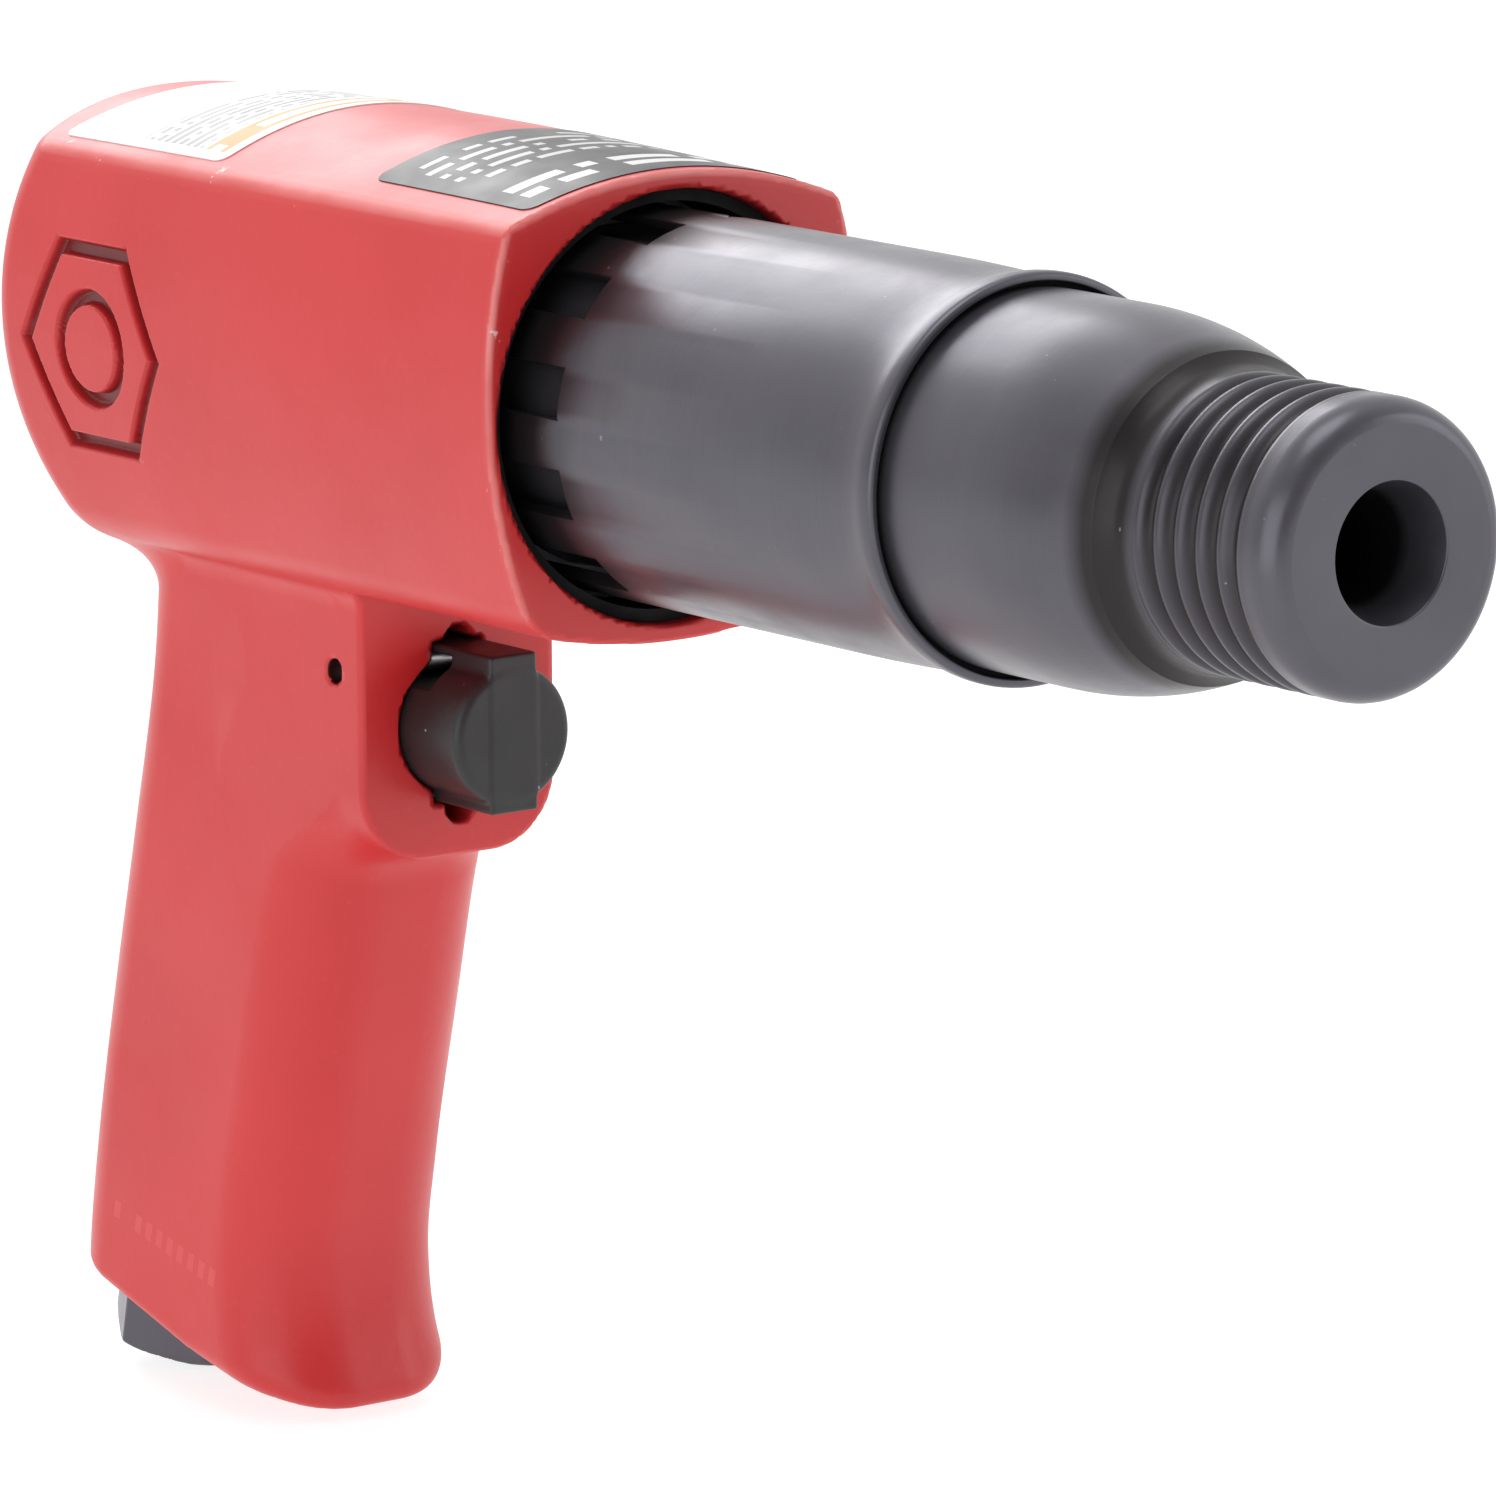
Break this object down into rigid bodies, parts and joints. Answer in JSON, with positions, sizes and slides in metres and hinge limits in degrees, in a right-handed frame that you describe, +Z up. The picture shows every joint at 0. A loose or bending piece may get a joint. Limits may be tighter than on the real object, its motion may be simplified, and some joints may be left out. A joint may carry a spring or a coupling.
{
  "type": "pneumatic air hammer",
  "caption": "Pistol-grip pneumatic hammer with a heavy black barrel, threaded nose, slotted exhaust sleeve, push trigger and hex air inlet.",
  "frame": {"origin": "centre of the flat face of the nose, on the barrel's axis", "axes": "+X forward along the barrel, out of the nose; +Z up, away from the grip; +Y to the tool's left"},
  "size_m": [0.2333, 0.0528, 0.158],
  "materials": {
    "red_paint": "satin red paint over cast aluminium",
    "black_steel": "satin black oxide",
    "bright_steel": "ground",
    "black_plastic": "matte",
    "black_rubber": "matte",
    "brass": "satin",
    "label_vinyl": "gloss",
    "plate_vinyl": "satin"
  },
  "bodies": {
    "tool_body": {"handle_housing": "red_paint", "barrel": "black_steel", "exhaust_sleeve": "black_steel", "sleeve_o_ring": "black_rubber", "exhaust_deflector": "black_rubber", "barrel_lock_ring": "black_steel", "valve_case_front": "bright_steel", "valve_case_rear": "bright_steel", "valve_case_pins": "bright_steel", "valve_case_seal": "black_rubber", "trigger_pin": "bright_steel", "throttle_bushing": "brass", "bushing_o_ring": "black_rubber", "throttle_spring": "bright_steel", "inlet_bushing": "black_steel", "inlet_seal": "black_rubber", "inlet_screen": "brass", "warning_label": "label_vinyl", "rating_plate": "plate_vinyl"},
    "piston": {"piston": "bright_steel"},
    "valve_disc": {"valve_disc": "bright_steel"},
    "trigger": {"trigger_button": "black_plastic"},
    "throttle": {"throttle_valve": "brass", "throttle_valve_seal": "black_rubber"}
  },
  "joints": [
    {"name": "piston_slide", "type": "slide", "parent": "tool_body", "child": "piston", "axis": [1, 0, 0], "range_m": [0, 0.089]},
    {"name": "valve_disc_slide", "type": "slide", "parent": "tool_body", "child": "valve_disc", "axis": [1, 0, 0], "range_m": [0, 0.0014]},
    {"name": "trigger_press", "type": "slide", "parent": "tool_body", "child": "trigger", "axis": [-1, 0, 0], "range_m": [0, 0.007], "stiffness_N_per_m": 900, "springref_m": -0.004},
    {"name": "throttle_valve_slide", "type": "slide", "parent": "tool_body", "child": "throttle", "axis": [-1, 0, 0], "range_m": [0, 0.007], "deforming": ["throttle_spring"]}
  ],
  "couplings": [
    {"joint": "throttle_valve_slide", "follows": "trigger_press", "ratio": 1}
  ]
}
